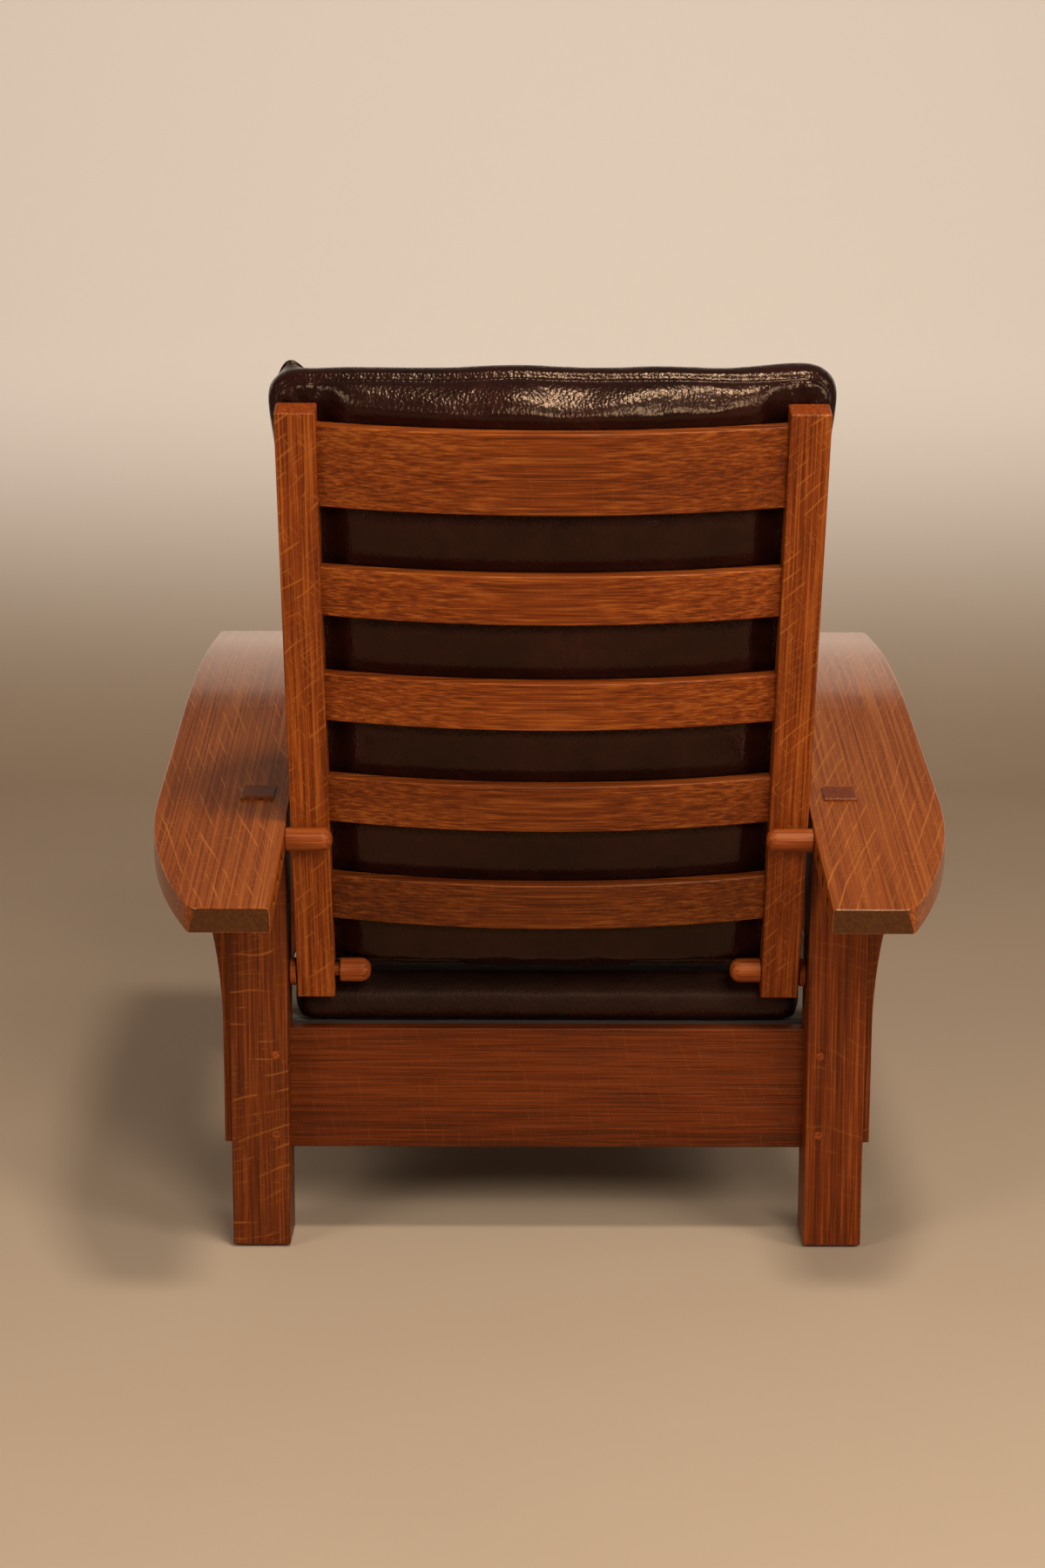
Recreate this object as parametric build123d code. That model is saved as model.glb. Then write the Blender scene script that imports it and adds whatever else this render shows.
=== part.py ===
from build123d import *
from math import cos, radians, sin, tan
import os

os.makedirs("parts", exist_ok=True)

# How a round or square solid stands on its lower end
on_end = (Align.CENTER, Align.CENTER, Align.MIN)

# A free-standing reclining armchair of solid wood with two loose leather cushions.
# Lengths are millimetres and angles are degrees. The floor is at z = 0, the chair faces -Y, and +X
# is the sitter's left. The origin is the middle of the chair's outline on the floor.

# Base: legs
leg_size = 66.0
leg_edge = 1.6
foot_chamfer = 3.0
side_rail_length = 546.0
tenon_width = 37.0
tenon_depth = 33.0
tenon_proud = 4.0
tenon_chamfer = 1.6

# Base: arms
arm_height = 622.5
arm_thickness = 29.0
arm_width = 149.5
arm_overlap = 4.5
arm_nose = 38.0
arm_tail = 250.0
arm_slope = 13.0
arm_drop = 95.5
arm_bend_tangent = 165.0
arm_curve_lead = 20.0
arm_tail_width = 84.0
arm_nose_corner = 12.0
arm_tail_corner = 22.0
arm_inner_corner = 5.0
arm_edge = 2.0

# Base: rails, tenons and draw pins
rail_height = 142.0
rail_thickness = 22.0
rail_edge = 1.5
rear_rail_setback = 33.0
outer_setback = 20.0
rail_tenon_thickness = 12.0
rail_tenon_shoulder = 12.0
tenon_to_tenon = 2.0
side_rail_tenon_length = 45.0
pin_radius = 4.75
pin_from_top = 22.6
pin_from_bottom = 25.3
end_pin_share = 0.537
side_pin_inset = 12.0
pin_past_tenon = 1.0
pin_proud = 0.5

# Base: corbels and floor glides
corbel_thickness = 22.0
corbel_floor_gap = 121.0
corbel_strip = 10.0
corbel_flare_height = 240.0
corbel_flare_width = 50.0
corbel_edge = 1.0
glide_radius = 14.0
glide_thickness = 2.0
glide_nail_radius = 1.6
glide_nail_length = 16.0

# Back frame
recline = 17.5
pivot_height = 323.0
pivot_above_rail = 70.0
stile_width = 42.5
stile_thickness = 32.0
stile_length = 708.0
stile_foot = 28.0
stile_gap = 9.6
stile_edge = 1.5
slat_count = 5
slat_thickness = 13.5
slat_height = 56.0
top_slat_height = 90.0
top_slat_inset = 16.6
slat_spacing = 69.1
slat_bow = 25.0
slat_setback = 9.0
slat_edge = 1.2
slat_tenon_length = 20.0
slat_tenon_thickness = 9.0
slat_tenon_shoulder = 6.0

# Pegs, peg holes and washers
shank_radius = 7.2
rest_head_radius = 13.0
rest_head_length = 51.7
pivot_head_radius = 13.7
pivot_head_length = 35.0
head_round = 11.5
head_chamfer = 1.0
pivot_shank_length = 86.0
pivot_peg_drawn = 6.0
rest_hole_count = 4
rest_hole_spacing = 51.0
rest_hole_depth = 32.0
washer_thickness = 7.0
washer_radius = 16.0
washer_hole_radius = 9.7
washer_edge = 0.8

# Seat deck
cleat_height = 20.0
side_cleat_width = 20.0
cleat_bearing = 15.0
deck_gap = 2.0
cover_thickness = 0.8
pad_thickness = 9.0
strap_thickness = 2.5
strap_width = 50.0
strap_count = 8
strap_inset = 8.0
frame_thickness = 19.0
frame_bar_width = 48.0
dowel_radius = 4.0
dowel_length = 40.0
dowel_spacing = 24.0
screw_radius = 2.0
screw_head_radius = 4.2
screw_head_height = 2.6
screw_rail_depth = 15.0
screws_per_cleat = 3
screw_end_margin = 60.0

# Cushions
seat_cushion_width = 582.0
seat_side_room = 5.0
seat_edge_height = 88.0
seat_crown = 36.0
seat_front_setback = 10.0
back_side_room = 7.0
back_cushion_foot = 12.0
back_cushion_top = 709.0
back_edge_depth = 114.0
back_crown_depth = 156.0
back_top_dip = 4.0
back_top_lip = 24.0
back_top_slope = 20.0
cushion_side_bulge = 6.0

# Clearances
joint_gap = 0.1
pin_gap = 0.05
peg_gap = 0.08
rest_gap = 0.1
face_gap = 0.3
soft_gap = 0.3
stile_to_cushion = 1.0
hole_bottom_gap = 2.0
overrun = 60.0

# Shares of the seat cushion at each station from its back to its front: place along the length,
# half width, lift of the bottom edge, side height and crown
seat_station_shares = (
    (0.000, 0.982, 0.05, 0.54, 0.02),
    (0.012, 0.994, 0.01, 0.63, 0.04),
    (0.030, 0.998, 0.00, 0.66, 0.06),
    (0.110, 0.994, 0.00, 0.71, 0.09),
    (0.160, 0.992, 0.00, 0.77, 0.22),
    (0.220, 0.989, 0.00, 0.87, 0.72),
    (0.320, 0.986, 0.00, 0.93, 0.93),
    (0.550, 0.984, 0.00, 1.00, 1.00),
    (0.800, 0.988, 0.00, 1.00, 0.96),
    (0.930, 0.994, 0.00, 0.97, 0.70),
    (0.980, 0.990, 0.01, 0.91, 0.38),
    (1.000, 0.972, 0.10, 0.79, 0.10),
)

# Shares of the back cushion at each station from its foot to its top: place along the height and
# half width, then four shares of the edge depth, or of the crown depth in the last, in front of
# the middle of the stiles: back face at the side and at the middle, front face at the side and
# at the middle
back_station_shares = (
    (0.000, 0.958, 0.300, 0.225, 0.77, 0.58),
    (0.014, 0.986, 0.212, 0.130, 0.90, 0.73),
    (0.042, 0.998, 0.152, 0.060, 0.96, 0.83),
    (0.100, 1.002, 0.060, -0.200, 1.00, 0.93),
    (0.210, 1.002, 0.040, -0.200, 1.00, 1.00),
    (0.480, 1.000, 0.040, -0.200, 1.00, 1.00),
    (0.780, 1.003, 0.040, -0.200, 0.97, 0.96),
    (0.915, 1.012, 0.060, -0.180, 0.88, 0.80),
    (0.970, 1.018, 0.110, -0.080, 0.78, 0.65),
    (1.000, 1.000, 0.220, 0.140, 0.66, 0.52),
)

# Points of a cushion's rounded shoulder: share of the half width and share of the crown's rise
shoulder_shares = ((0.86, 0.62), (0.60, 0.92))

# Places along Y, front to back
depth = arm_nose + leg_size + side_rail_length + leg_size + arm_tail
arm_front = -depth / 2
arm_back = depth / 2
front_leg_y = arm_front + arm_nose + leg_size / 2
rear_leg_y = arm_back - arm_tail - leg_size / 2
front_leg_face = front_leg_y - leg_size / 2
rear_leg_face = rear_leg_y + leg_size / 2
rail_y = (front_leg_y + leg_size / 2, rear_leg_y - leg_size / 2)
front_rail_y = front_leg_face + outer_setback + rail_thickness / 2
rear_rail_y = rear_leg_face - rear_rail_setback - rail_thickness / 2

# The end cleats reach as far under the seat deck as it needs to bear on them
deck_ends_y = (rail_y[0] + deck_gap, rail_y[1] - deck_gap)
front_cleat_width = deck_ends_y[0] + cleat_bearing - front_rail_y - rail_thickness / 2
rear_cleat_width = rear_rail_y - rail_thickness / 2 - deck_ends_y[1] + cleat_bearing

# Places along X, on the sitter's left: the legs stand beside the seat cushion
leg_inner = seat_cushion_width / 2 + seat_side_room
leg_x = leg_inner + leg_size / 2
leg_outer = leg_inner + leg_size
side_rail_x = leg_outer - outer_setback - rail_thickness / 2
side_rail_inner = side_rail_x - rail_thickness / 2
end_rail_tenon_length = side_rail_x - rail_tenon_thickness / 2 - tenon_to_tenon - leg_inner
arm_inner = leg_inner - arm_overlap
arm_outer = arm_inner + arm_width
stile_outer = leg_inner - stile_gap
stile_inner = stile_outer - stile_width
stile_x = stile_outer - stile_width / 2
back_cushion_width = 2 * (leg_inner - back_side_room)

# Heights: the rails and the seat deck keep their distance below the pivot of the back
rail_top = pivot_height - pivot_above_rail
rail_bottom = rail_top - rail_height
deck_top = rail_top
pad_top = deck_top - cover_thickness
strap_top = pad_top - pad_thickness
frame_top = strap_top - strap_thickness
frame_bottom = frame_top - frame_thickness
rear_arm_top = arm_height - arm_drop
arm_bend_y = rear_leg_y - arm_drop / tan(radians(arm_slope))

# The first rest hole lies on the middle of the arm, where a peg just touches the reclined stiles
pivot_y = rear_leg_y
arm_middle_drop = arm_thickness / 2 / cos(radians(arm_slope))
peg_rise = rear_arm_top - arm_middle_drop - pivot_height
peg_reach = stile_thickness / 2 + rest_head_radius + rest_gap
peg_spread = cos(radians(recline)) + tan(radians(arm_slope)) * sin(radians(recline))
rest_peg_y = pivot_y + (peg_reach + peg_rise * sin(radians(recline))) / peg_spread
rest_peg_z = pivot_height + peg_rise - tan(radians(arm_slope)) * (rest_peg_y - pivot_y)

# The reclined back is drawn upright about its pivot, then placed
back_place = Pos(0, pivot_y, pivot_height) * Rot(-recline, 0, 0)
slat_back_y = stile_thickness / 2 - slat_setback
slat_front_y = slat_back_y - slat_thickness
slat_middle_y = (slat_back_y + slat_front_y) / 2

# The seat cushion starts just in front of the lower corner of the stiles
stile_corner_y = stile_foot * sin(radians(recline)) + stile_thickness / 2 * cos(radians(recline))
seat_cushion_back = pivot_y - stile_corner_y - stile_to_cushion
seat_cushion_front = front_leg_face + seat_front_setback
seat_cushion_bottom = deck_top + soft_gap


def span(middle, size):
    """Give the low and high limits of a size about its middle."""
    return (middle - size / 2, middle + size / 2)


def block(x, y, z):
    """Make a box from its low and high limits along each axis."""
    size = [high - low for low, high in (x, y, z)]
    middle = [(high + low) / 2 for low, high in (x, y, z)]
    return Pos(*middle) * Box(*size)


def grown(limits, gap):
    """Widen the limits of a block by a gap on every side."""
    return [(low - gap, high + gap) for low, high in limits]


def rod(start, end, radius):
    """Make a cylinder between two points."""
    way = Vector(*end) - Vector(*start)
    return Plane(origin=start, z_dir=way) * Cylinder(radius, way.length, align=on_end)


def other_side(shape):
    """Mirror a piece of the sitter's left to the right."""
    return mirror(shape, about=Plane.YZ)


def above(y, z, slope):
    """Make a large block whose lower face passes through a point and slopes down to the back."""
    size = arm_height
    return Pos(0, y, z) * Rot(-slope, 0, 0) * Box(2 * size, size, size, align=on_end)


def pin_heights():
    """Give the heights of the two draw pins in each rail tenon."""
    return (rail_bottom + pin_from_bottom, rail_top - pin_from_top)


def end_rail_tenon(rail_middle):
    """Give the limits of the tenon of a front or rear rail in a left leg."""
    return [
        (leg_inner, leg_inner + end_rail_tenon_length),
        span(rail_middle, rail_tenon_thickness),
        (rail_bottom + rail_tenon_shoulder, rail_top - rail_tenon_shoulder),
    ]


def side_rail_tenon(face_y, way):
    """Give the limits of the tenon of a left side rail that enters a leg at its face."""
    ends = sorted((face_y, face_y + way * side_rail_tenon_length))
    return [
        span(side_rail_x, rail_tenon_thickness),
        tuple(ends),
        (rail_bottom + rail_tenon_shoulder, rail_top - rail_tenon_shoulder),
    ]


def end_pin(rail_middle, way, z, radius):
    """Make a pin that enters a left leg from its outer end face and crosses the rail tenon."""
    x = leg_inner + end_pin_share * end_rail_tenon_length
    face = rear_leg_face if way < 0 else front_leg_face
    stop = rail_middle + way * (rail_tenon_thickness / 2 + pin_past_tenon)
    return rod((x, face - way * pin_proud, z), (x, stop, z), radius)


def side_pin(face_y, way, z, radius):
    """Make a pin that enters a left leg from its outer side and crosses the side rail tenon."""
    y = face_y + way * side_pin_inset
    stop = side_rail_x - rail_tenon_thickness / 2 - pin_past_tenon
    return rod((leg_outer + pin_proud, y, z), (stop, y, z), radius)


def glide(y, radius_gap):
    """Make a left floor glide with its nail, or the hole for the nail."""
    disc = rod((leg_x, y, 0), (leg_x, y, glide_thickness), glide_radius)
    nail = rod((leg_x, y, 0), (leg_x, y, glide_thickness + glide_nail_length), glide_nail_radius + radius_gap)
    return disc + nail


def leg(y, arm_top, slope, rail_middle, way):
    """Make a left leg with its shoulder, arm tenon, mortises and pin holes.

    way is 1 for the front leg, whose side rail lies behind it, and -1 for the rear leg.
    """
    post = block(span(leg_x, leg_size), span(y, leg_size), (glide_thickness, arm_height))
    post = chamfer(post.edges().group_by(Axis.Z)[0], foot_chamfer)
    post = fillet(post.edges().filter_by(Axis.Z), leg_edge)
    post -= above(y, arm_top - arm_thickness / cos(radians(slope)), slope)
    tenon_x = span(leg_x, tenon_width)
    tenon_y = span(y, tenon_depth)
    tenon = block(tenon_x, tenon_y, (arm_top - 2 * arm_thickness, arm_top + arm_thickness))
    tenon -= above(y, arm_top + tenon_proud, slope)
    tenon = chamfer(tenon.faces().sort_by(Axis.Z)[-1].edges(), tenon_chamfer)
    post += tenon
    post -= block(*grown(end_rail_tenon(rail_middle), joint_gap))
    face_y = y + way * leg_size / 2
    post -= block(*grown(side_rail_tenon(face_y, -way), joint_gap))
    for z in pin_heights():
        post -= end_pin(rail_middle, way, z, pin_radius + pin_gap)
        post -= side_pin(face_y, -way, z, pin_radius + pin_gap)
    post -= glide(y, pin_gap)
    return post


def front_leg():
    """Make the left front leg."""
    return leg(front_leg_y, arm_height, 0, front_rail_y, 1)


def rear_leg():
    """Make the left rear leg, which also has the blind hole of the pivot peg."""
    post = leg(rear_leg_y, rear_arm_top, arm_slope, rear_rail_y, -1)
    start = (stile_outer, pivot_y, pivot_height)
    end = (pivot_head_seat() + pivot_shank_length + hole_bottom_gap, pivot_y, pivot_height)
    return post - rod(start, end, shank_radius + peg_gap)


def pivot_head_seat():
    """Give the place along X of the flat of a pivot peg's head when it is pushed home."""
    return stile_inner - face_gap


def end_rail(rail_middle, way):
    """Make the front or rear rail with its tenons and pin holes."""
    rail = block((-leg_inner, leg_inner), span(rail_middle, rail_thickness), (rail_bottom, rail_top))
    rail = fillet(rail.edges().filter_by(Axis.X), rail_edge)
    tenon = block(*end_rail_tenon(rail_middle))
    for z in pin_heights():
        tenon -= end_pin(rail_middle, way, z, pin_radius + pin_gap)
    return rail + tenon + other_side(tenon)


def side_rail():
    """Make the left side rail with its tenons and pin holes."""
    rail = block(span(side_rail_x, rail_thickness), rail_y, (rail_bottom, rail_top))
    rail = fillet(rail.edges().filter_by(Axis.Y), rail_edge)
    for face_y, way in zip(rail_y, (-1, 1)):
        rail += block(*side_rail_tenon(face_y, way))
        for z in pin_heights():
            rail -= side_pin(face_y, way, z, pin_radius + pin_gap)
    return rail


def end_rail_pins(rail_middle, way):
    """Make the four draw pins of the front or rear rail."""
    left = [end_pin(rail_middle, way, z, pin_radius) for z in pin_heights()]
    return left + [other_side(pin) for pin in left]


def side_rail_pins():
    """Make the four draw pins of the left side rail."""
    ends = zip(rail_y, (-1, 1))
    return [side_pin(face_y, way, z, pin_radius) for face_y, way in ends for z in pin_heights()]


def corbel(y, arm_top, slope):
    """Make a left corbel: a narrow strip that flares out along an arc to the arm."""
    underside = arm_top - arm_thickness / cos(radians(slope))
    flare_start = underside - corbel_flare_height
    inner = leg_outer
    strip = leg_outer + corbel_strip
    flare = strip + corbel_flare_width
    roof = underside + arm_thickness
    edges = [
        Line((inner, corbel_floor_gap), (strip, corbel_floor_gap)),
        Line((strip, corbel_floor_gap), (strip, flare_start)),
        TangentArc((strip, flare_start), (flare, underside), tangent=(0, 1)),
        Line((flare, underside), (flare, roof)),
        Line((flare, roof), (inner, roof)),
        Line((inner, roof), (inner, corbel_floor_gap)),
    ]
    face = Plane.XZ.offset(-y - corbel_thickness / 2) * make_face(edges)
    bracket = extrude(face, corbel_thickness)
    flared = bracket.edges().filter_by(GeomType.CIRCLE)
    straight = bracket.edges().filter_by(Axis.Z).group_by(Axis.X)[1]
    bracket = chamfer(flared + straight, corbel_edge)
    return bracket - above(y, underside, slope)


def arm_side():
    """Make the arm's side profile: flat, then an arc, then a straight slope to the back."""
    slope = radians(arm_slope)
    down = (-arm_thickness * sin(slope), -arm_thickness * cos(slope))
    nose = (arm_front, arm_height)
    bend_start = (arm_bend_y - arm_bend_tangent, arm_height)
    bend_end = (arm_bend_y + arm_bend_tangent * cos(slope), arm_height - arm_bend_tangent * sin(slope))
    tail = (arm_back, rear_arm_top - tan(slope) * (arm_back - rear_leg_y))
    low_nose = (arm_front, arm_height - arm_thickness)
    low_start = (bend_start[0], arm_height - arm_thickness)
    low_end = (bend_end[0] + down[0], bend_end[1] + down[1])
    low_tail = (tail[0] + down[0], tail[1] + down[1])
    edges = [
        Line(nose, bend_start),
        TangentArc(bend_start, bend_end, tangent=(1, 0)),
        Line(bend_end, tail),
        Line(tail, low_tail),
        Line(low_tail, low_end),
        TangentArc(low_start, low_end, tangent=(1, 0)),
        Line(low_start, low_nose),
        Line(low_nose, nose),
    ]
    return make_face(edges)


def arm_plan():
    """Make the arm's outline from above: straight inside, drawn in along an arc at the back."""
    curve_start = rear_leg_face - arm_curve_lead
    tail_x = arm_inner + arm_tail_width
    edges = [
        Line((arm_inner, arm_front), (arm_outer, arm_front)),
        Line((arm_outer, arm_front), (arm_outer, curve_start)),
        TangentArc((arm_outer, curve_start), (tail_x, arm_back), tangent=(0, 1)),
        Line((tail_x, arm_back), (arm_inner, arm_back)),
        Line((arm_inner, arm_back), (arm_inner, arm_front)),
    ]
    outline = make_face(edges)
    front = outline.vertices().group_by(Axis.Y)[0]
    outline = fillet(front, arm_nose_corner)
    inner, outer = outline.vertices().group_by(Axis.Y)[-1].sort_by(Axis.X)
    outline = fillet(outer, arm_tail_corner)
    inner = outline.vertices().group_by(Axis.Y)[-1].sort_by(Axis.X)[0]
    return fillet(inner, arm_inner_corner)


def rest_hole_places():
    """Give the places of the rest holes along the middle of the arm's slope, first to last."""
    step = rest_hole_spacing * cos(radians(arm_slope))
    drop = rest_hole_spacing * sin(radians(arm_slope))
    return [(rest_peg_y + i * step, rest_peg_z - i * drop) for i in range(rest_hole_count)]


def arm():
    """Make the left arm with its mortises and rest holes."""
    bent = extrude(Plane.YZ.offset(arm_inner) * arm_side(), arm_width)
    board = bent & extrude(arm_plan(), arm_height)
    board = fillet(board.edges(), arm_edge)
    for y, top in ((front_leg_y, arm_height), (rear_leg_y, rear_arm_top)):
        tenon_x = span(leg_x, tenon_width + 2 * joint_gap)
        tenon_y = span(y, tenon_depth + 2 * joint_gap)
        board -= block(tenon_x, tenon_y, (top - 2 * arm_thickness, top + arm_thickness))
    hole_x = (arm_inner - face_gap, arm_inner + rest_hole_depth)
    for y, z in rest_hole_places():
        board -= rod((hole_x[0], y, z), (hole_x[1], y, z), shank_radius + peg_gap)
    return board


def leg_glides():
    """Make the four floor glides."""
    left = [glide(y, 0) for y in (front_leg_y, rear_leg_y)]
    return left + [other_side(piece) for piece in left]


def peg(head_radius, head_length, shank_length):
    """Make a peg along Z: its shank points down and its rounded head points up."""
    head = rod((0, 0, 0), (0, 0, head_length), head_radius)
    rims = head.edges().filter_by(GeomType.CIRCLE).sort_by(Axis.Z)
    head = fillet(rims[-1:], head_round)
    rims = head.edges().filter_by(GeomType.CIRCLE).sort_by(Axis.Z)
    head = chamfer(rims[:1], head_chamfer)
    shank = rod((0, 0, -shank_length), (0, 0, head_chamfer), shank_radius)
    rims = shank.edges().filter_by(GeomType.CIRCLE).sort_by(Axis.Z)
    return head + chamfer(rims[:1], head_chamfer)


def left_peg(x, y, z, shape):
    """Lay a peg along X with its head towards the middle of the chair."""
    return Pos(x, y, z) * Rot(0, -90, 0) * shape


def rest_peg():
    """Make the left rest peg in the first rest hole."""
    seat = arm_inner - face_gap
    return left_peg(seat, rest_peg_y, rest_peg_z, peg(rest_head_radius, rest_head_length, rest_hole_depth))


def pivot_peg(drawn):
    """Make a left pivot peg, drawn out of its seat by some distance."""
    x = pivot_head_seat() - drawn
    return left_peg(x, pivot_y, pivot_height, peg(pivot_head_radius, pivot_head_length, pivot_shank_length))


def pivot_washer():
    """Make the loose ring that hangs on the left pivot peg between the stile and the leg."""
    middle = (stile_outer + leg_inner) / 2
    z = pivot_height - (washer_hole_radius - shank_radius) + peg_gap
    start, end = span(middle, washer_thickness)
    ring = rod((start, pivot_y, z), (end, pivot_y, z), washer_radius)
    ring = chamfer(ring.edges().filter_by(GeomType.CIRCLE), washer_edge)
    return ring - rod((start, pivot_y, z), (end, pivot_y, z), washer_hole_radius)


def slat_limits():
    """Give the low and high ends of each slat along the stiles, lowest first."""
    high = stile_length - stile_foot - top_slat_inset
    limits = [(high - top_slat_height, high)]
    for _ in range(slat_count - 1):
        high = limits[0][0] - slat_spacing
        limits.insert(0, (high - slat_height, high))
    return limits


def slat_tenon(low, high):
    """Give the limits of a slat's left tenon, which starts inside the bowed part."""
    return [
        (stile_inner - slat_tenon_shoulder, stile_inner + slat_tenon_length),
        span(slat_middle_y, slat_tenon_thickness),
        (low + slat_tenon_shoulder, high - slat_tenon_shoulder),
    ]


def bow(y):
    """Make the arc of a slat's face from its place at the stiles."""
    return ThreePointArc((-stile_inner, y), (0, y + slat_bow), (stile_inner, y))


def slat(low, high):
    """Make a bowed slat with a tenon at each end."""
    edges = [
        bow(slat_back_y),
        bow(slat_front_y),
        Line((stile_inner, slat_front_y), (stile_inner, slat_back_y)),
        Line((-stile_inner, slat_front_y), (-stile_inner, slat_back_y)),
    ]
    board = extrude(Pos(0, 0, low) * make_face(edges), high - low)
    board = chamfer(board.edges().filter_by(GeomType.CIRCLE), slat_edge)
    tenon = block(*slat_tenon(low, high))
    return board + tenon + other_side(tenon)


def stile():
    """Make the left stile, upright, with its slat mortises and pivot hole."""
    outline = Pos(stile_x, 0, -stile_foot) * RectangleRounded(stile_width, stile_thickness, stile_edge)
    post = extrude(outline, stile_length)
    ends = post.edges().group_by(Axis.Z)
    post = chamfer(ends[0] + ends[-1], stile_edge)
    for low, high in slat_limits():
        post -= block(*grown(slat_tenon(low, high), joint_gap))
    return post - rod((stile_inner - face_gap, 0, 0), (stile_outer + face_gap, 0, 0), shank_radius + peg_gap)


def side_cleat():
    """Make the left side cleat without its screw holes."""
    x = (side_rail_inner - side_cleat_width, side_rail_inner)
    y = (deck_ends_y[0] + cleat_bearing + deck_gap, deck_ends_y[1] - cleat_bearing - deck_gap)
    return block(x, y, (frame_bottom - cleat_height, frame_bottom))


def end_cleat(rail_middle, way, width):
    """Make the front or rear cleat without its screw holes."""
    face = rail_middle + way * rail_thickness / 2
    x = (deck_gap - leg_inner, leg_inner - deck_gap)
    return block(x, tuple(sorted((face, face + way * width))), (frame_bottom - cleat_height, frame_bottom))


def screw(x, y, z, turn, length, gap):
    """Make a countersunk screw that points along +X before it is turned about Z."""
    head = Cone(screw_head_radius + gap, screw_radius + gap, screw_head_height, align=on_end)
    shank = Cylinder(screw_radius + gap, length + gap, align=on_end)
    return Pos(x, y, z) * Rot(0, 0, turn) * Rot(0, 90, 0) * (head + shank)


def spread(start, end, count):
    """Give evenly spaced places from one end to the other."""
    return [start + (end - start) * i / (count - 1) for i in range(count)]


def cleat_screws(gap):
    """Make the screws of every cleat, or with a gap the holes that they need."""
    z = frame_bottom - cleat_height / 2
    screws = []
    side_length = side_cleat_width + screw_rail_depth
    for y in spread(rail_y[0] + screw_end_margin, rail_y[1] - screw_end_margin, screws_per_cleat):
        screws.append(screw(side_rail_inner - side_cleat_width, y, z, 0, side_length, gap))
        screws.append(screw(side_cleat_width - side_rail_inner, y, z, 180, side_length, gap))
    front_face = front_rail_y + rail_thickness / 2 + front_cleat_width
    rear_face = rear_rail_y - rail_thickness / 2 - rear_cleat_width
    for x in spread(screw_end_margin - leg_inner, leg_inner - screw_end_margin, screws_per_cleat):
        screws.append(screw(x, front_face, z, -90, front_cleat_width + screw_rail_depth, gap))
        screws.append(screw(x, rear_face, z, 90, rear_cleat_width + screw_rail_depth, gap))
    return screws


def deck_x(inset):
    """Give the seat deck's limits along X, drawn in by an inset."""
    half = side_rail_inner - deck_gap - inset
    return (-half, half)


def deck_y(inset):
    """Give the seat deck's limits along Y, drawn in by an inset."""
    return (deck_ends_y[0] + inset, deck_ends_y[1] - inset)


def frame_dowels(gap):
    """Make the dowels that join the seat frame's corners, or with a gap their holes."""
    z = (frame_top + frame_bottom) / 2
    joint_x = deck_x(cover_thickness)[1] - frame_bar_width
    low, high = deck_y(cover_thickness)
    dowels = []
    for bar_y in (low + frame_bar_width / 2, high - frame_bar_width / 2):
        for y in span(bar_y, dowel_spacing):
            start, end = span(joint_x, dowel_length + 2 * gap)
            dowels.append(rod((start, y, z), (end, y, z), dowel_radius + gap))
    return dowels + [other_side(dowel) for dowel in dowels]


def seat_frame():
    """Make the four bars of the drop-in seat frame, by name."""
    low_x, high_x = deck_x(cover_thickness)
    low_y, high_y = deck_y(cover_thickness)
    z = (frame_bottom, frame_top)
    inner_x = (low_x + frame_bar_width, high_x - frame_bar_width)
    bars = {
        "seat_frame_left": block((high_x - frame_bar_width, high_x), (low_y, high_y), z),
        "seat_frame_right": block((low_x, low_x + frame_bar_width), (low_y, high_y), z),
        "seat_frame_front": block(inner_x, (low_y, low_y + frame_bar_width), z),
        "seat_frame_rear": block(inner_x, (high_y - frame_bar_width, high_y), z),
    }
    holes = frame_dowels(pin_gap)
    return {name: bar - holes for name, bar in bars.items()}


def seat_webbing():
    """Make the straps that run from side to side over the seat frame."""
    low, high = deck_y(cover_thickness)
    edge = strap_width / 2 + strap_inset
    x = deck_x(cover_thickness + strap_inset)
    places = spread(low + edge, high - edge, strap_count)
    return [block(x, span(y, strap_width), (frame_top, strap_top)) for y in places]


def deck_cover():
    """Make the cloth cover that wraps the top and the sides of the deck."""
    outer = block(deck_x(0), deck_y(0), (frame_bottom, deck_top))
    return outer - block(deck_x(cover_thickness), deck_y(cover_thickness), (frame_bottom - overrun, pad_top))


def crown_line(inner, side, middle):
    """Make the curve across a cushion's crown, with full shoulders and a flatter middle."""
    shoulder = [(place * inner, side + share * (middle - side)) for place, share in shoulder_shares]
    half = [(inner, side)] + shoulder
    mirrored = [(-x, height) for x, height in reversed(half)]
    return Spline(*half, (0, middle), *mirrored)


def cushion_section(plane, half, low, low_middle, high, high_middle):
    """Make a cushion's section: an arc below, a crown above and a bulging arc at each side."""
    inner = half - cushion_side_bulge
    middle = (low + high) / 2
    edges = [
        ThreePointArc((-inner, low), (0, low_middle), (inner, low)),
        ThreePointArc((inner, low), (half, middle), (inner, high)),
        crown_line(inner, high, high_middle),
        ThreePointArc((-inner, high), (-half, middle), (-inner, low)),
    ]
    return plane * make_face(edges)


def seat_cushion():
    """Make the seat cushion: low under the back cushion, crowned in front of it, drawn in at the sides."""
    length = seat_cushion_back - seat_cushion_front
    sections = []
    for place, width, lift, side, crown in seat_station_shares:
        plane = Plane(
            origin=(0, seat_cushion_back - place * length, seat_cushion_bottom),
            x_dir=(-1, 0, 0),
            z_dir=(0, 1, 0),
        )
        low = lift * seat_edge_height
        sag = low - soft_gap
        high = side * seat_edge_height
        half = width * seat_cushion_width / 2
        sections.append(cushion_section(plane, half, low, sag, high, high + crown * seat_crown))
    body = loft(sections)
    floor = block((-arm_outer, arm_outer), (arm_front, arm_back), (frame_bottom, seat_cushion_bottom))
    return body - floor


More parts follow.
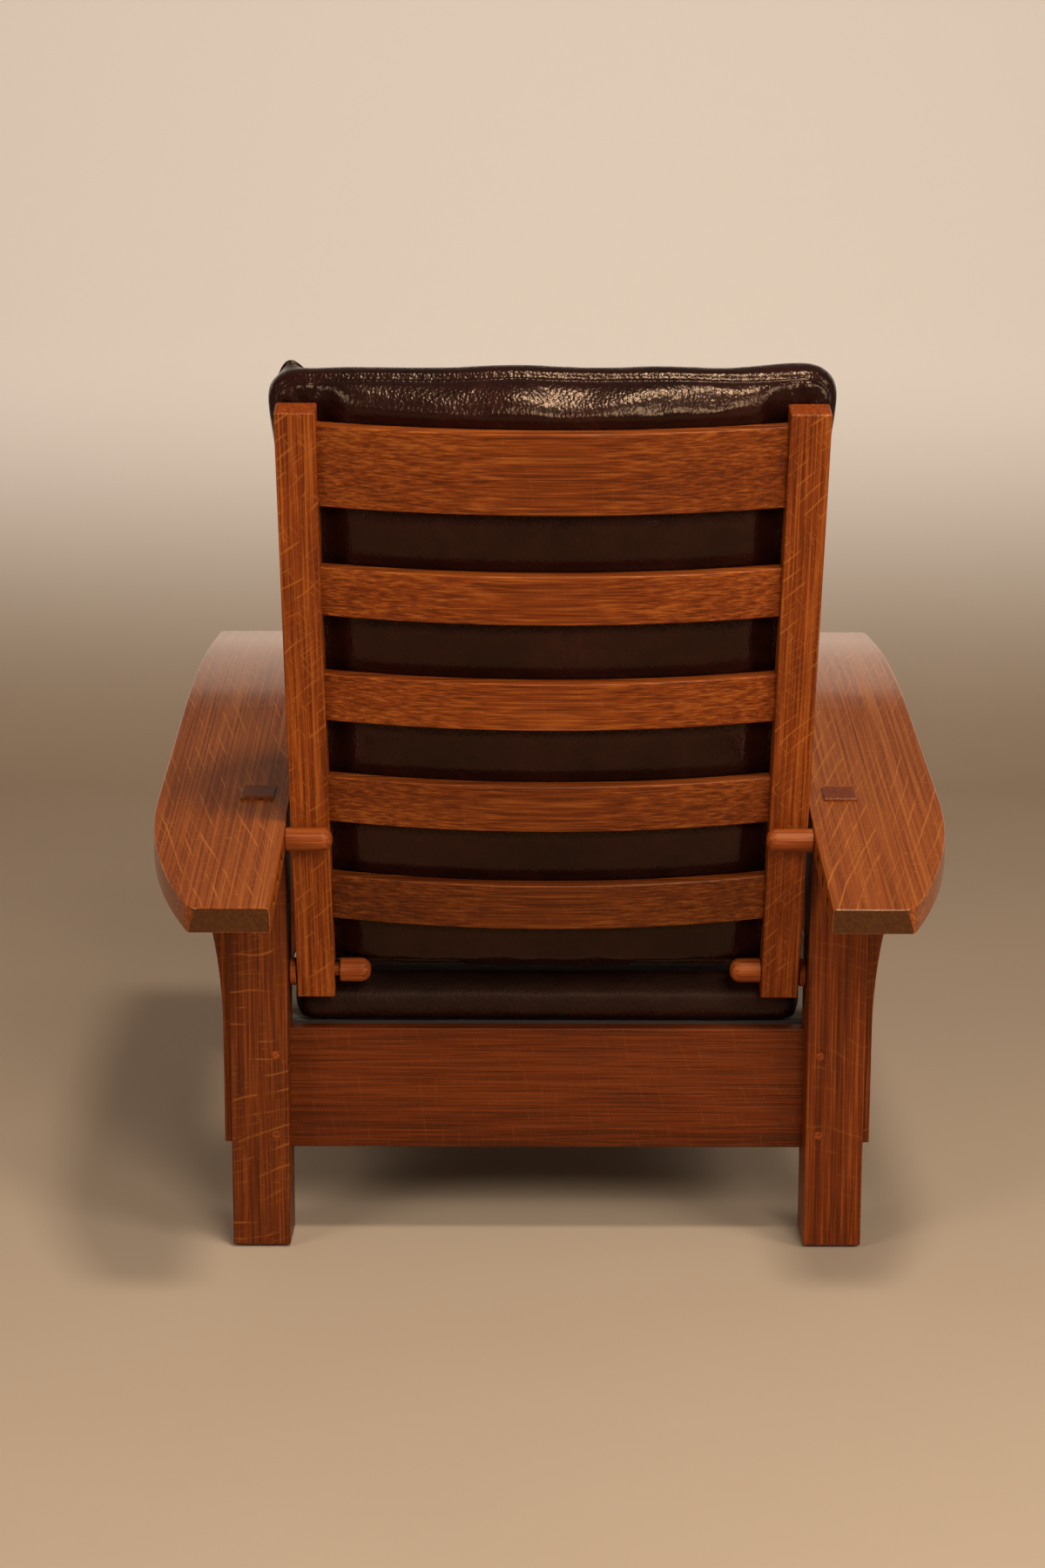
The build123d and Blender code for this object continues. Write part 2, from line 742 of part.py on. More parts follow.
def behind_cushion():
    """Make the space behind the back cushion that the stiles and slats take, drawn upright."""
    side = stile_inner - soft_gap
    front = -stile_thickness / 2 - soft_gap
    slat_front = slat_front_y - soft_gap
    wide = arm_outer
    far = overrun + stile_thickness
    edges = [
        Line((-wide, front), (-side, front)),
        Line((-side, front), (-side, slat_front)),
        ThreePointArc((-side, slat_front), (0, slat_front + slat_bow), (side, slat_front)),
        Line((side, slat_front), (side, front)),
        Line((side, front), (wide, front)),
        Line((wide, front), (wide, far)),
        Line((wide, far), (-wide, far)),
        Line((-wide, far), (-wide, front)),
    ]
    return extrude(Pos(0, 0, -overrun) * make_face(edges), back_cushion_top + 2 * overrun)


def above_cushion():
    """Make the space above the back cushion: its top dips in the middle and slopes down to the front."""
    half = back_cushion_width / 2 + overrun
    edges = [
        ThreePointArc((-half, 0), (0, -back_top_dip), (half, 0)),
        Line((half, 0), (half, overrun)),
        Line((half, overrun), (-half, overrun)),
        Line((-half, overrun), (-half, 0)),
    ]
    space = extrude(Plane.XZ * make_face(edges), 2 * back_crown_depth, both=True)
    return Pos(0, -back_top_lip, back_cushion_top) * Rot(back_top_slope, 0, 0) * space


def back_cushion():
    """Make the back cushion upright: it bulges between the stiles towards the slats."""
    height = back_cushion_top + back_cushion_foot
    sections = []
    for place, width, back, back_middle, front, front_middle in back_station_shares:
        plane = Plane(origin=(0, 0, place * height - back_cushion_foot), x_dir=(-1, 0, 0), z_dir=(0, 0, 1))
        half = width * back_cushion_width / 2
        low = back * back_edge_depth
        low_middle = back_middle * back_edge_depth
        high = front * back_edge_depth
        sections.append(cushion_section(plane, half, low, low_middle, high, front_middle * back_crown_depth))
    return loft(sections) - behind_cushion() - above_cushion()


def sided(name, left, right=None):
    """Name a left piece and its mirrored right one."""
    return {name + "_left": left, name + "_right": other_side(left if right is None else right)}


def pieces():
    """Make every piece of the chair, by name."""
    holes = cleat_screws(pin_gap)
    side_rail_left = side_rail() - holes
    side_cleat_left = side_cleat() - holes
    made = {
        **sided("front_leg", front_leg()),
        **sided("rear_leg", rear_leg()),
        "front_rail": end_rail(front_rail_y, 1) - holes,
        "rear_rail": end_rail(rear_rail_y, -1) - holes,
        **sided("side_rail", side_rail_left),
        "front_rail_pins": Compound(children=end_rail_pins(front_rail_y, 1)),
        "rear_rail_pins": Compound(children=end_rail_pins(rear_rail_y, -1)),
        **sided("side_rail_pins", Compound(children=side_rail_pins())),
        **sided("front_corbel", corbel(front_leg_y, arm_height, 0)),
        **sided("rear_corbel", corbel(rear_leg_y, rear_arm_top, arm_slope)),
        **sided("arm", arm()),
        "leg_glides": Compound(children=leg_glides()),
        "front_cleat": end_cleat(front_rail_y, 1, front_cleat_width) - holes,
        "rear_cleat": end_cleat(rear_rail_y, -1, rear_cleat_width) - holes,
        **sided("side_cleat", side_cleat_left),
        "cleat_screws": Compound(children=cleat_screws(0)),
        **seat_frame(),
        "seat_frame_dowels": Compound(children=frame_dowels(0)),
        "seat_webbing": Compound(children=seat_webbing()),
        "deck_pad": block(deck_x(cover_thickness), deck_y(cover_thickness), (strap_top, pad_top)),
        "deck_cover": deck_cover(),
        "seat_cushion": seat_cushion(),
        "back_cushion": back_place * back_cushion(),
        **sided("stile", back_place * stile()),
        **sided("rest_peg", rest_peg()),
        **sided("pivot_peg", pivot_peg(pivot_peg_drawn), pivot_peg(0)),
        **sided("pivot_washer", pivot_washer()),
    }
    for number, (low, high) in enumerate(slat_limits(), start=1):
        made[f"back_slat_{number}"] = back_place * slat(low, high)
    return made


for name, shape in pieces().items():
    export_step(shape, f"parts/{name}.step")
    print(name, len(shape.solids()), round(shape.volume))
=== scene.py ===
import math

import bmesh
import bpy
import numpy as np
from mathutils import Matrix, Vector
from mathutils.bvhtree import BVHTree


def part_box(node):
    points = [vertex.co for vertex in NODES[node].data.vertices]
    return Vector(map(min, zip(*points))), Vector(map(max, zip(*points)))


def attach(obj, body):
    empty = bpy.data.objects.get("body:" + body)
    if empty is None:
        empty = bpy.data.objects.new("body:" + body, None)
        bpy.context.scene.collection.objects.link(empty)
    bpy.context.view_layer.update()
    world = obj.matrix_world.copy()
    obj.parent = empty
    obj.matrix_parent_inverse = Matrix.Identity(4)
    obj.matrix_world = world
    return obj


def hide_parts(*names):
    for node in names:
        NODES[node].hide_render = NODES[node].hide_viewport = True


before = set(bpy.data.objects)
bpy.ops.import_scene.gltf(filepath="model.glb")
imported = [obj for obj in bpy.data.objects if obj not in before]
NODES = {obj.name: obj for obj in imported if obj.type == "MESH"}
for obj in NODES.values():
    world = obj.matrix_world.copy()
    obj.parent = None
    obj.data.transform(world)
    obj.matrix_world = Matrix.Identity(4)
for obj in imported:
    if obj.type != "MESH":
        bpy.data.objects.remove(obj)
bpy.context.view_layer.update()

# Camera: behind the chair, looking along -Y. Its lens is in millimetres; here and below lengths
# are metres and angles radians.
CAMERA_PLACE = Vector((0.03698, 3.24854, 1.11915))
CAMERA_YAW = -0.0024
CAMERA_PITCH = 0.1879
CAMERA_ROLL = 0.0029
CAMERA_LENS = 63.0

# The reclined back: its pivot and its lean from upright
PIVOT = np.array((0.0, 0.200, 0.323))
LEAN = math.radians(17.5)

# Where along Y the arms bend, by what angle, and how gently
ARM_BEND = -0.214
ARM_SLOPE = math.radians(13)
ARM_BEND_REACH = 0.25


# Finishes


def linear(red, green, blue):
    """Turn a colour as seen on screen, 0 to 255, into the shader's linear one."""
    seen = np.array((red, green, blue)) / 255
    true = np.where(seen <= 0.04045, seen / 12.92, ((seen + 0.055) / 1.055) ** 2.4)
    return (*map(float, true), 1.0)


class Finish:
    """A material being built, with short calls for the nodes that finishes here use."""

    def __init__(self, name):
        self.material = bpy.data.materials.new(name)
        self.material.use_nodes = True
        self.tree = self.material.node_tree
        self.surface = self.tree.nodes["Principled BSDF"]
        coordinates = self.node("ShaderNodeTexCoord")
        self.place = coordinates.outputs["Object"]
        self.normal = coordinates.outputs["Normal"]

    def node(self, kind, **settings):
        """Add a node with its settings."""
        made = self.tree.nodes.new(kind)
        for key, value in settings.items():
            setattr(made, key, value)
        return made

    def feed(self, socket, value):
        """Join a socket to another node's output, or write a plain value on it."""
        if isinstance(value, bpy.types.NodeSocket):
            self.tree.links.new(value, socket)
        else:
            socket.default_value = value

    def moved(self, place, scale=(1, 1, 1), turn=(0, 0, 0), shift=(0, 0, 0)):
        """Stretch, then turn, then shift the coordinates that a pattern is read at."""
        made = self.node("ShaderNodeMapping")
        self.feed(made.inputs["Vector"], place)
        made.inputs["Scale"].default_value = scale
        made.inputs["Rotation"].default_value = turn
        made.inputs["Location"].default_value = shift
        return made.outputs["Vector"]

    def noise(self, place, detail=2.0, rough=0.5, bend=0.0, scale=1.0):
        """Read cloudy noise, about 0 to 1, at a place."""
        made = self.node("ShaderNodeTexNoise")
        self.feed(made.inputs["Vector"], place)
        made.inputs["Scale"].default_value = scale
        made.inputs["Detail"].default_value = detail
        made.inputs["Roughness"].default_value = rough
        made.inputs["Distortion"].default_value = bend
        return made.outputs["Fac"]

    def split(self, vector):
        """Give the outputs X, Y and Z of a vector."""
        made = self.node("ShaderNodeSeparateXYZ")
        self.feed(made.inputs[0], vector)
        return made.outputs

    def math(self, kind, first, second=0.0, third=0.0):
        """Work out one step on numbers or sockets."""
        made = self.node("ShaderNodeMath", operation=kind)
        for socket, value in zip(made.inputs, (first, second, third)):
            self.feed(socket, value)
        return made.outputs["Value"]

    def ramp(self, value, low, high):
        """Go smoothly from 0 to 1 as a value goes from low to high, which may be the smaller."""
        made = self.node("ShaderNodeMapRange", interpolation_type="SMOOTHSTEP")
        self.feed(made.inputs["Value"], value)
        made.inputs["From Min"].default_value = low
        made.inputs["From Max"].default_value = high
        return made.outputs["Result"]

    def blend(self, share, first, second):
        """Mix two colours: the first at share 0, the second at share 1."""
        made = self.node("ShaderNodeMix", data_type="RGBA")
        self.feed(made.inputs["Factor"], share)
        self.feed(made.inputs[6], first)
        self.feed(made.inputs[7], second)
        return made.outputs[2]

    def finish(self, colour, rough, height=None, depth=0.001, strength=1.0, **plain):
        """Join colour, roughness and bump to the surface; plain values are set on it directly."""
        self.feed(self.surface.inputs["Base Color"], colour)
        self.feed(self.surface.inputs["Roughness"], rough)
        if height is not None:
            bump = self.node("ShaderNodeBump")
            bump.inputs["Strength"].default_value = strength
            bump.inputs["Distance"].default_value = depth
            self.feed(bump.inputs["Height"], height)
            self.feed(self.surface.inputs["Normal"], bump.outputs["Normal"])
        for key, value in plain.items():
            self.surface.inputs[key.replace("_", " ")].default_value = value
        return self.material


# Tones of the fumed oak, the hide and the cloths, as dark, middle and light screen colours
LEG_TONE = ((70, 26, 6), (96, 37, 9), (122, 56, 17))
STILE_TONE = ((86, 33, 8), (120, 50, 12), (148, 74, 23))
# The rails' tone is darker than the legs': painted shade, as the rear rail sits set back in shade; the
# side and front rails share it
SHADED_RAIL_TONE = ((62, 22, 4), (86, 31, 6), (102, 42, 11))
SLAT_TONE = ((86, 33, 8), (120, 50, 12), (150, 76, 24))
ARM_TONE = ((104, 44, 12), (128, 60, 18), (148, 78, 28))
PIN_TONE = ((84, 34, 10), (118, 50, 15), (136, 64, 22))
PEG_TONE = ((94, 38, 11), (124, 54, 16), (146, 72, 28))
RAY_TONE = (172, 100, 36)
LEATHER_TONE = ((18, 5, 4), (29, 9, 7), (46, 17, 12))
# Painted shade at the deck cover's ends, a dark band like binding tape
SHADE_BAND_TONE = (44, 26, 14)
JUTE_TONE = ((92, 74, 48), (160, 134, 92), (190, 166, 122))
CAMBRIC_TONE = ((150, 134, 108), (206, 190, 160), (222, 208, 180))

# Linear tints of what wood and hide reflect
WARM_GLOSS = (1.0, 0.78, 0.52, 1.0)
HIDE_GLOSS = (1.0, 0.64, 0.40, 1.0)

# How a board is finished: its gloss, its least roughness, how fine its pattern is along and across
# the grain, its bump, and the shares of tone in the dark and light parts of its end grain
WAXED = (0.2, 0.33, 1.0, 1.0, 0.5, 1.0, 1.2)
POLISHED = (0.5, 0.10, 0.4, 0.85, 0.0, 0.34, 0.42)

# How the pebbles and wrinkles of the hide slant
HIDE_TURN = (0, 0.55, 0)


def ribbons(made, board, period, slant, seed, long):
    """Draw wavy lines across the grain: crests of a sine along it, slanted and bent."""
    parts = made.split(board)
    across = made.math("MULTIPLY_ADD", parts["Y"], 0.6, parts["X"])
    along = made.math("MULTIPLY_ADD", across, slant, parts["Z"])
    bend = made.noise(made.moved(board, (9, 9, 7 * long), shift=(seed, 0, 0)), 2.0, 0.4)
    turns = made.math("MULTIPLY_ADD", along, 2 * math.pi / period, made.math("MULTIPLY", bend, 17.0))
    crest = made.ramp(made.math("SINE", turns), 0.90, 1.0)
    patch = made.noise(made.moved(board, (34, 34, 26 * long), shift=(seed, 2, 1)), 2.0, 0.6)
    return made.math("MULTIPLY", crest, made.ramp(patch, 0.44, 0.62))


def shaded(tone, share):
    """Scale a board's three tones."""
    return tuple(tuple(share * part for part in colour) for colour in tone)


def straightened(made):
    """Let the grain follow a bowed arm: lift the place by as much as the arm drops at its back."""
    parts = made.split(made.place)
    past = made.math("SUBTRACT", parts["Y"], ARM_BEND)
    past = made.math("SMOOTH_MAX", past, 0.0, ARM_BEND_REACH)
    joined = made.node("ShaderNodeCombineXYZ")
    made.feed(joined.inputs["X"], parts["X"])
    made.feed(joined.inputs["Y"], parts["Y"])
    made.feed(joined.inputs["Z"], made.math("MULTIPLY_ADD", past, math.tan(ARM_SLOPE), parts["Z"]))
    return joined.outputs[0]


def end_grain(made, board, turn, dark, light):
    """Give the colour of end grain, and the share of it where a face looks along the grain."""
    facing = made.node("ShaderNodeMapping", vector_type="NORMAL")
    made.feed(facing.inputs["Vector"], made.normal)
    facing.inputs["Rotation"].default_value = turn
    share = made.ramp(made.math("ABSOLUTE", made.split(facing.outputs["Vector"])["Z"]), 0.80, 0.95)
    rings = made.noise(made.moved(board, (260, 260, 260)), 3.0, 0.7)
    return made.blend(made.ramp(rings, 0.35, 0.65), dark, light), made.math("MULTIPLY", share, 0.85)


def oak(name, tone, turn, shift, rays, slant, period, style):
    """Fumed quarter-sawn oak whose grain runs along Z once the board is turned.

    Fine streaks and short dark pores are noise stretched along the grain. Ray flecks are thin
    ribbons and small lenses across it. End grain has no streaks. A polished board is an arm: its
    grain follows its bow, its streaks are longer and its pores are filled.
    """
    gloss, coarse, long, wide, pits, dim, lit = style
    made = Finish(name)
    place = straightened(made) if style is POLISHED else made.place
    board = made.moved(made.moved(place, turn=turn), shift=shift)
    dark, middle, light = (linear(*colour) for colour in tone)
    broad = made.noise(made.moved(board, (14, 14, 1.4)), 2.0)
    streak = made.noise(made.moved(board, (210 * wide, 210 * wide, 2.4 * long)), 3.0, 0.6, 0.1)
    fine = made.noise(made.moved(board, (480 * wide, 480 * wide, 8 * long)), 2.0, 0.6)
    pore = made.noise(made.moved(board, (640 * wide, 640 * wide, 26 * long)), 1.0, 0.5)
    value = made.math("MULTIPLY_ADD", broad, 0.22, made.math("MULTIPLY", streak, 0.26))
    value = made.math("MULTIPLY_ADD", fine, 0.52, value)
    shade = made.blend(made.ramp(value, 0.40, 0.50), dark, middle)
    shade = made.blend(made.ramp(value, 0.49, 0.60), shade, light)
    holes = made.ramp(pore, 0.53, 0.64)
    shade = made.blend(made.math("MULTIPLY", holes, 0.35), shade, dark)
    lens = made.noise(made.moved(made.moved(board, turn=(0, slant, 0)), (80, 80, 430)), 1.0)
    lens = made.math("MULTIPLY", made.ramp(lens, 0.64, 0.70), 0.45)
    first = ribbons(made, board, period, slant, 1.7, long)
    second = ribbons(made, board, 0.55 * period, 0.9 * slant, 8.3, long)
    fleck = made.math("MAXIMUM", made.math("MAXIMUM", first, made.math("MULTIPLY", second, 0.5)), lens)
    shade = made.blend(made.math("MULTIPLY", fleck, rays), shade, linear(*RAY_TONE))
    butt_dark = linear(*(dim * part for part in tone[0]))
    butt_light = linear(*(lit * part for part in tone[1]))
    butt, end = end_grain(made, board, turn, butt_dark, butt_light)
    shade = made.blend(end, shade, butt)
    height = made.math("MULTIPLY_ADD", holes, -1.0, made.math("MULTIPLY", fine, 0.3))
    rough = made.math("MULTIPLY_ADD", streak, 0.14, coarse)
    gleam = {"Specular_IOR_Level": gloss, "Specular_Tint": WARM_GLOSS}
    return made.finish(shade, rough, height, 0.00025, pits, **gleam)


def pebbles(made):
    """Draw the raised cells of the hide, slanted, with their outlines shaken by noise."""
    wobble = made.node("ShaderNodeTexNoise")
    made.feed(wobble.inputs["Vector"], made.place)
    wobble.inputs["Scale"].default_value = 160.0
    shift = made.node("ShaderNodeVectorMath", operation="SCALE")
    made.feed(shift.inputs[0], wobble.outputs["Color"])
    shift.inputs["Scale"].default_value = 0.003
    shaken = made.node("ShaderNodeVectorMath", operation="ADD")
    made.feed(shaken.inputs[0], made.place)
    made.feed(shaken.inputs[1], shift.outputs[0])
    cells = made.node("ShaderNodeTexVoronoi", feature="SMOOTH_F1")
    made.feed(cells.inputs["Vector"], made.moved(shaken.outputs[0], (340, 300, 215), HIDE_TURN))
    cells.inputs["Scale"].default_value = 1.0
    return made.ramp(cells.outputs["Distance"], 0.75, 0.1)


def leather(name, dull=None):
    """Dark waxed hide with pebbles, slanting wrinkles and broad patches of lighter tone.

    dull gives the ranges along Y and Z over which the unrubbed hide loses its gloss.
    """
    made = Finish(name)
    dark, middle, light = (linear(*colour) for colour in LEATHER_TONE)
    broad = made.noise(made.place, 3.0, 0.55, 0.3, 9.0)
    cloud = made.noise(made.place, 4.0, 0.6, 0.8, 38.0)
    value = made.math("MULTIPLY_ADD", broad, 0.6, made.math("MULTIPLY", cloud, 0.4))
    shade = made.blend(made.ramp(value, 0.36, 0.56), dark, middle)
    shade = made.blend(made.math("MULTIPLY", made.ramp(value, 0.54, 0.72), 0.6), shade, light)
    wrinkle = made.noise(made.moved(made.place, (150, 110, 70), HIDE_TURN), 3.0, 0.6, 0.8)
    height = made.math("MULTIPLY_ADD", wrinkle, 0.6, made.math("MULTIPLY", pebbles(made), 0.5))
    rough = made.math("MULTIPLY_ADD", cloud, 0.12, 0.19)
    if dull is not None:
        parts = made.split(made.place)
        under = [made.ramp(parts[axis], *ends) for axis, ends in zip("YZ", dull)]
        rough = made.math("MAXIMUM", rough, made.math("MULTIPLY", made.math("MULTIPLY", *under), 0.6))
    gleam = {"Specular_IOR_Level": 0.27, "Specular_Tint": HIDE_GLOSS}
    return made.finish(shade, rough, height, 0.0007, 0.8, **gleam)


def weave(name, tone, pitch, shaded_ends=None):
    """Cloth or webbing: two crossed waves of threads, over and under in turn.

    The last argument gives the limits along Y past which the cloth is painted dark: painted shade at
    its ends, in a band like binding tape.
    """
    made = Finish(name)
    dark, middle, light = (linear(*colour) for colour in tone)
    parts = made.split(made.place)
    turns = 2 * math.pi / pitch
    across = made.math("SINE", made.math("MULTIPLY", parts["X"], turns))
    along = made.math("SINE", made.math("MULTIPLY", parts["Y"], turns))
    knit = made.math("MULTIPLY", across, along)
    speck = made.noise(made.place, 3.0, 0.6, 0.0, 700.0)
    broad = made.noise(made.place, 2.0, 0.5, 0.0, 12.0)
    shade = made.blend(made.ramp(knit, -0.8, 0.5), dark, middle)
    shade = made.blend(made.math("MULTIPLY", made.ramp(speck, 0.45, 0.7), 0.5), shade, light)
    shade = made.blend(made.math("MULTIPLY", made.ramp(broad, 0.4, 0.65), 0.3), shade, dark)
    # Painted shade: past the limits the cloth takes the dark band's tone
    if shaded_ends is not None:
        ahead = made.ramp(parts["Y"], shaded_ends[0] + 0.001, shaded_ends[0])
        behind = made.ramp(parts["Y"], shaded_ends[1], shaded_ends[1] + 0.001)
        shade = made.blend(made.math("MAXIMUM", ahead, behind), shade, linear(*SHADE_BAND_TONE))
    rough = made.math("MULTIPLY_ADD", speck, 0.15, 0.75)
    return made.finish(shade, rough, knit, 0.0004, 0.8, Sheen_Weight=0.2)


def zinc():
    """Plated screw steel with a faint cloudy stain."""
    made = Finish("screw_zinc")
    cloud = made.noise(made.place, 3.0, 0.6, 0.0, 240.0)
    shade = made.blend(made.ramp(cloud, 0.35, 0.7), linear(150, 148, 138), linear(196, 190, 172))
    rough = made.math("MULTIPLY_ADD", cloud, 0.2, 0.28)
    return made.finish(shade, rough, cloud, 0.0001, 0.4, Metallic=1.0)


def glide_nylon():
    """Dark moulded nylon, scuffed grey from sliding."""
    made = Finish("glide_nylon")
    scuff = made.noise(made.moved(made.place, (60, 420, 60)), 4.0, 0.65)
    shade = made.blend(made.ramp(scuff, 0.5, 0.7), linear(28, 22, 18), linear(74, 66, 58))
    rough = made.math("MULTIPLY_ADD", scuff, 0.25, 0.42)
    return made.finish(shade, rough, scuff, 0.0002, 0.5)


# How a board's grain is turned onto Z: along Z, Y or X, or along the reclined stiles
UPRIGHT = (0, 0, 0)
ALONG_Y = (math.pi / 2, 0, 0)
ALONG_X = (0, math.pi / 2, 0)
RECLINED = (LEAN, 0, 0)


def dress(node, material):
    """Give every slot of a CAD node a finish."""
    slots = NODES[node].data.materials
    if not slots:
        slots.append(material)
    for index in range(len(slots)):
        slots[index] = material


# Ray flecks of a board: their strength, their slant and the distance between them
PLAIN = (0.0, 0.0, 0.02)
FAINT = (0.2, 0.2, 0.02)

# Shares of the slats' tone, from the bottom slat up: painted shade that darkens the lower slats, as
# the photo darkens them
SLAT_SHADE_SHARES = (0.78, 0.88, 0.97, 0.97, 0.93)

# Parts inside the seat, of the slats' oak, and the width of the dark band of painted shade at the deck
# cover's ends
INNER_PARTS = (
    "front_cleat",
    "rear_cleat",
    "seat_frame_front",
    "seat_frame_rear",
    "seat_frame_dowels",
)
SHADE_BAND_WIDTH = 0.012


def board_rows():
    """List each board's node, its tones, its turn and its ray flecks."""
    rows = []
    # The rear legs are lit and shaded copies of one oak: the left is painted darker, the right painted
    # lighter against the arm's shadow
    rear_legs = {"left": (shaded(LEG_TONE, 0.9), 0.3), "right": (shaded(LEG_TONE, 1.04), 0.12)}
    for side, way in (("left", 1), ("right", -1)):
        rear_tone, rear_rays = rear_legs[side]
        rows += [
            (f"front_leg_{side}", LEG_TONE, UPRIGHT, 0.3, 0.25 * way, 0.022),
            (f"rear_leg_{side}", rear_tone, UPRIGHT, rear_rays, 0.25 * way, 0.022),
            (f"front_corbel_{side}", LEG_TONE, UPRIGHT, *FAINT),
            (f"rear_corbel_{side}", LEG_TONE, UPRIGHT, *FAINT),
            (f"stile_{side}", STILE_TONE, RECLINED, 0.55, 0.85, 0.020),
            (f"arm_{side}", ARM_TONE, ALONG_Y, 0.6, 3.2 * way, 0.06),
            (f"side_rail_{side}", SHADED_RAIL_TONE, ALONG_Y, *FAINT),
            (f"rest_peg_{side}", PEG_TONE, ALONG_X, *PLAIN),
            (f"pivot_peg_{side}", PEG_TONE, ALONG_X, *PLAIN),
            (f"pivot_washer_{side}", PEG_TONE, ALONG_X, *PLAIN),
            (f"side_cleat_{side}", SLAT_TONE, ALONG_Y, *PLAIN),
            (f"seat_frame_{side}", SLAT_TONE, ALONG_Y, *PLAIN),
            (f"side_rail_pins_{side}", PIN_TONE, ALONG_X, *PLAIN),
        ]
    rows += [(f"{end}_rail", SHADED_RAIL_TONE, ALONG_X, 0.06, 0.2, 0.02) for end in ("front", "rear")]
    rows += [(f"{end}_rail_pins", PIN_TONE, ALONG_Y, *PLAIN) for end in ("front", "rear")]
    # Each slat's tone is scaled by its share: painted shade, darker towards the bottom
    for number, share in enumerate(SLAT_SHADE_SHARES, 1):
        rows += [(f"back_slat_{number}", shaded(SLAT_TONE, share), ALONG_X, 0.05, 0.2, 0.02)]
    rows += [(name, SLAT_TONE, ALONG_X, *PLAIN) for name in INNER_PARTS]
    return rows


def dress_boards():
    """Give each board its own oak, cut from another place in the log."""
    for number, (node, tone, turn, *flecks) in enumerate(board_rows()):
        shift = (0.37 * number, 0.23 * number, 0.61 * number)
        style = POLISHED if node.startswith("arm") else WAXED
        dress(node, oak(f"oak_{node}", tone, turn, shift, *flecks, style))


def dress_seat():
    """Give the cleats' screws, the glides and the layers of the seat their finishes."""
    dress("cleat_screws", zinc())
    dress("leg_glides", glide_nylon())
    dress("seat_webbing", weave("jute_webbing", JUTE_TONE, 0.004))
    dress("deck_pad", weave("pad_cambric", CAMBRIC_TONE, 0.0012))
    # The deck cover gets painted shade, a dark band at its front and rear ends
    front, rear = (corner[1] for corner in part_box("deck_cover"))
    shaded_ends = (front + SHADE_BAND_WIDTH, rear - SHADE_BAND_WIDTH)
    dress("deck_cover", weave("deck_cambric_shaded_ends", CAMBRIC_TONE, 0.0012, shaded_ends))


dress_boards()
dress_seat()
hide = leather("maroon_hide")
seat_hide = leather("maroon_seat_hide", ((0.05, 0.09), (0.262, 0.275)))


# Cushions

# Sizes of the mesh work: the voxels, the steps along a seam, how near a seam the cloth is held,
# how far swelling may move a point, the frames it runs for and the rounds that even it out
VOXEL = 0.0065
SEAM_STEP = 0.004
HELD_REACH = 0.006
SWELL_CAP = 0.022
SWELL_FRAMES = 20
SWELL_ROUNDS = 8


def grid_mesh(name, points, closed=(False, False)):
    """Make a mesh of quads from a grid of points, joined round where it is closed."""
    rows, columns = points.shape[:2]
    i = np.arange(rows if closed[0] else rows - 1)
    j = np.arange(columns if closed[1] else columns - 1)
    i, j = (axis.ravel() for axis in np.meshgrid(i, j, indexing="ij"))
    ahead, beside = (i + 1) % rows, (j + 1) % columns
    here, there = i * columns, ahead * columns
    faces = np.stack([here + j, there + j, there + beside, here + beside], -1)
    mesh = bpy.data.meshes.new(name)
    mesh.from_pydata(points.reshape(-1, 3).tolist(), [], faces.tolist())
    mesh.shade_smooth()
    made = bpy.data.objects.new(name, mesh)
    bpy.context.scene.collection.objects.link(made)
    return made


def read_points(mesh):
    """Read a mesh's vertices as an array."""
    points = np.empty(len(mesh.vertices) * 3)
    mesh.vertices.foreach_get("co", points)
    return points.reshape(-1, 3)


def write_points(mesh, points):
    """Put an array back into a mesh's vertices."""
    mesh.vertices.foreach_set("co", np.ascontiguousarray(points, dtype=np.float32).ravel())
    mesh.update()


def read_normals(mesh):
    """Read a mesh's vertex normals as an array."""
    normals = np.empty(len(mesh.vertices) * 3)
    mesh.vertex_normals.foreach_get("vector", normals)
    return normals.reshape(-1, 3)


def smooth(value, low, high):
    """Go from 0 to 1 as a value goes from low to high: 3t^2 - 2t^3."""
    share = np.clip((value - low) / (high - low), 0, 1)
    return share * share * (3 - 2 * share)


def rounded_outline(half_width, low, high, corner):
    """Walk round a rectangle with quarter circles at its corners; its width is centred on 0."""
    bend = np.linspace(0, math.pi / 2, 14)
    side = np.linspace(0, 1, 60)[1:-1]
    corners = ((1, 1), (-1, 1), (-1, -1), (1, -1))
    points = []
    for number, (way_p, way_q) in enumerate(corners):
        centre = high - corner if way_q > 0 else low + corner
        middle = np.array((way_p * (half_width - corner), centre))
        angle = bend + number * math.pi / 2
        points.append(middle + corner * np.stack([np.cos(angle), np.sin(angle)], -1))
    walked = []
    for here, there in zip(points, points[1:] + points[:1]):
        walked += [here, here[-1] + side[:, None] * (there[0] - here[-1])]
    return np.concatenate(walked)


